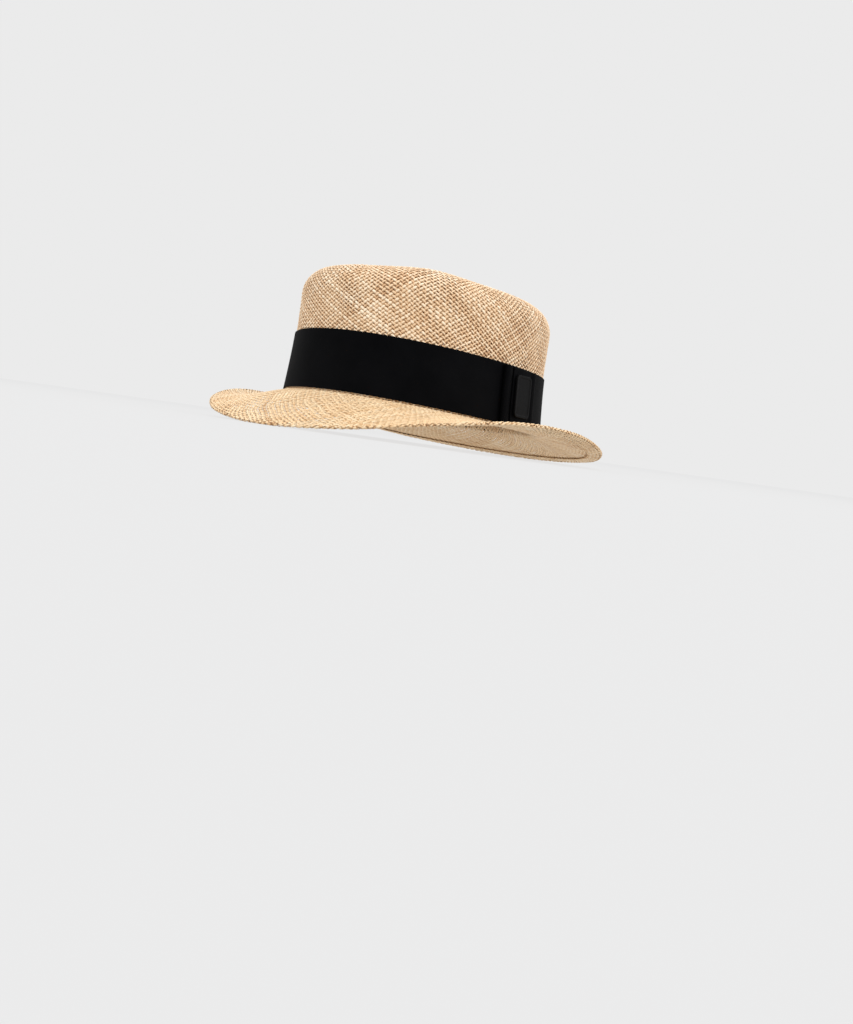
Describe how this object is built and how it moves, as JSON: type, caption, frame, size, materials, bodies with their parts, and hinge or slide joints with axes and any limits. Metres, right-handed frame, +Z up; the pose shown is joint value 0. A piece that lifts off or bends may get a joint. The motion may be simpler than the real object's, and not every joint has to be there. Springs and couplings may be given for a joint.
{
  "type": "straw hat with a flat-topped crown",
  "caption": "Woven straw hat with a flat-topped crown, a brim dipped at front and back, a wide black ribbon and a flat bow with a plain plate.",
  "frame": {"origin": "middle of the hat's outline in plan, on the surface that the brim's front and back rest on", "axes": "+Z up, -Y towards the wearer's front, +X towards the wearer's left; +Y runs along the hat's length"},
  "size_m": [0.2658, 0.303, 0.1114],
  "materials": {
    "crown_straw": "natural straw in a plain weave, honey coloured with pale and reddish strands, slightly glossy",
    "brim_straw": "natural straw in a plain weave, laid on the bias, with a turned edge",
    "ribbon": "black ribbon with a fine rib and a soft sheen",
    "plate_enamel": "charcoal enamel, satin"
  },
  "bodies": {
    "root": {"crown": "crown_straw", "brim": "brim_straw", "ribbon_band": "ribbon", "bow_loops": "ribbon", "bow_knot": "ribbon", "plate": "plate_enamel"}
  },
  "joints": []
}
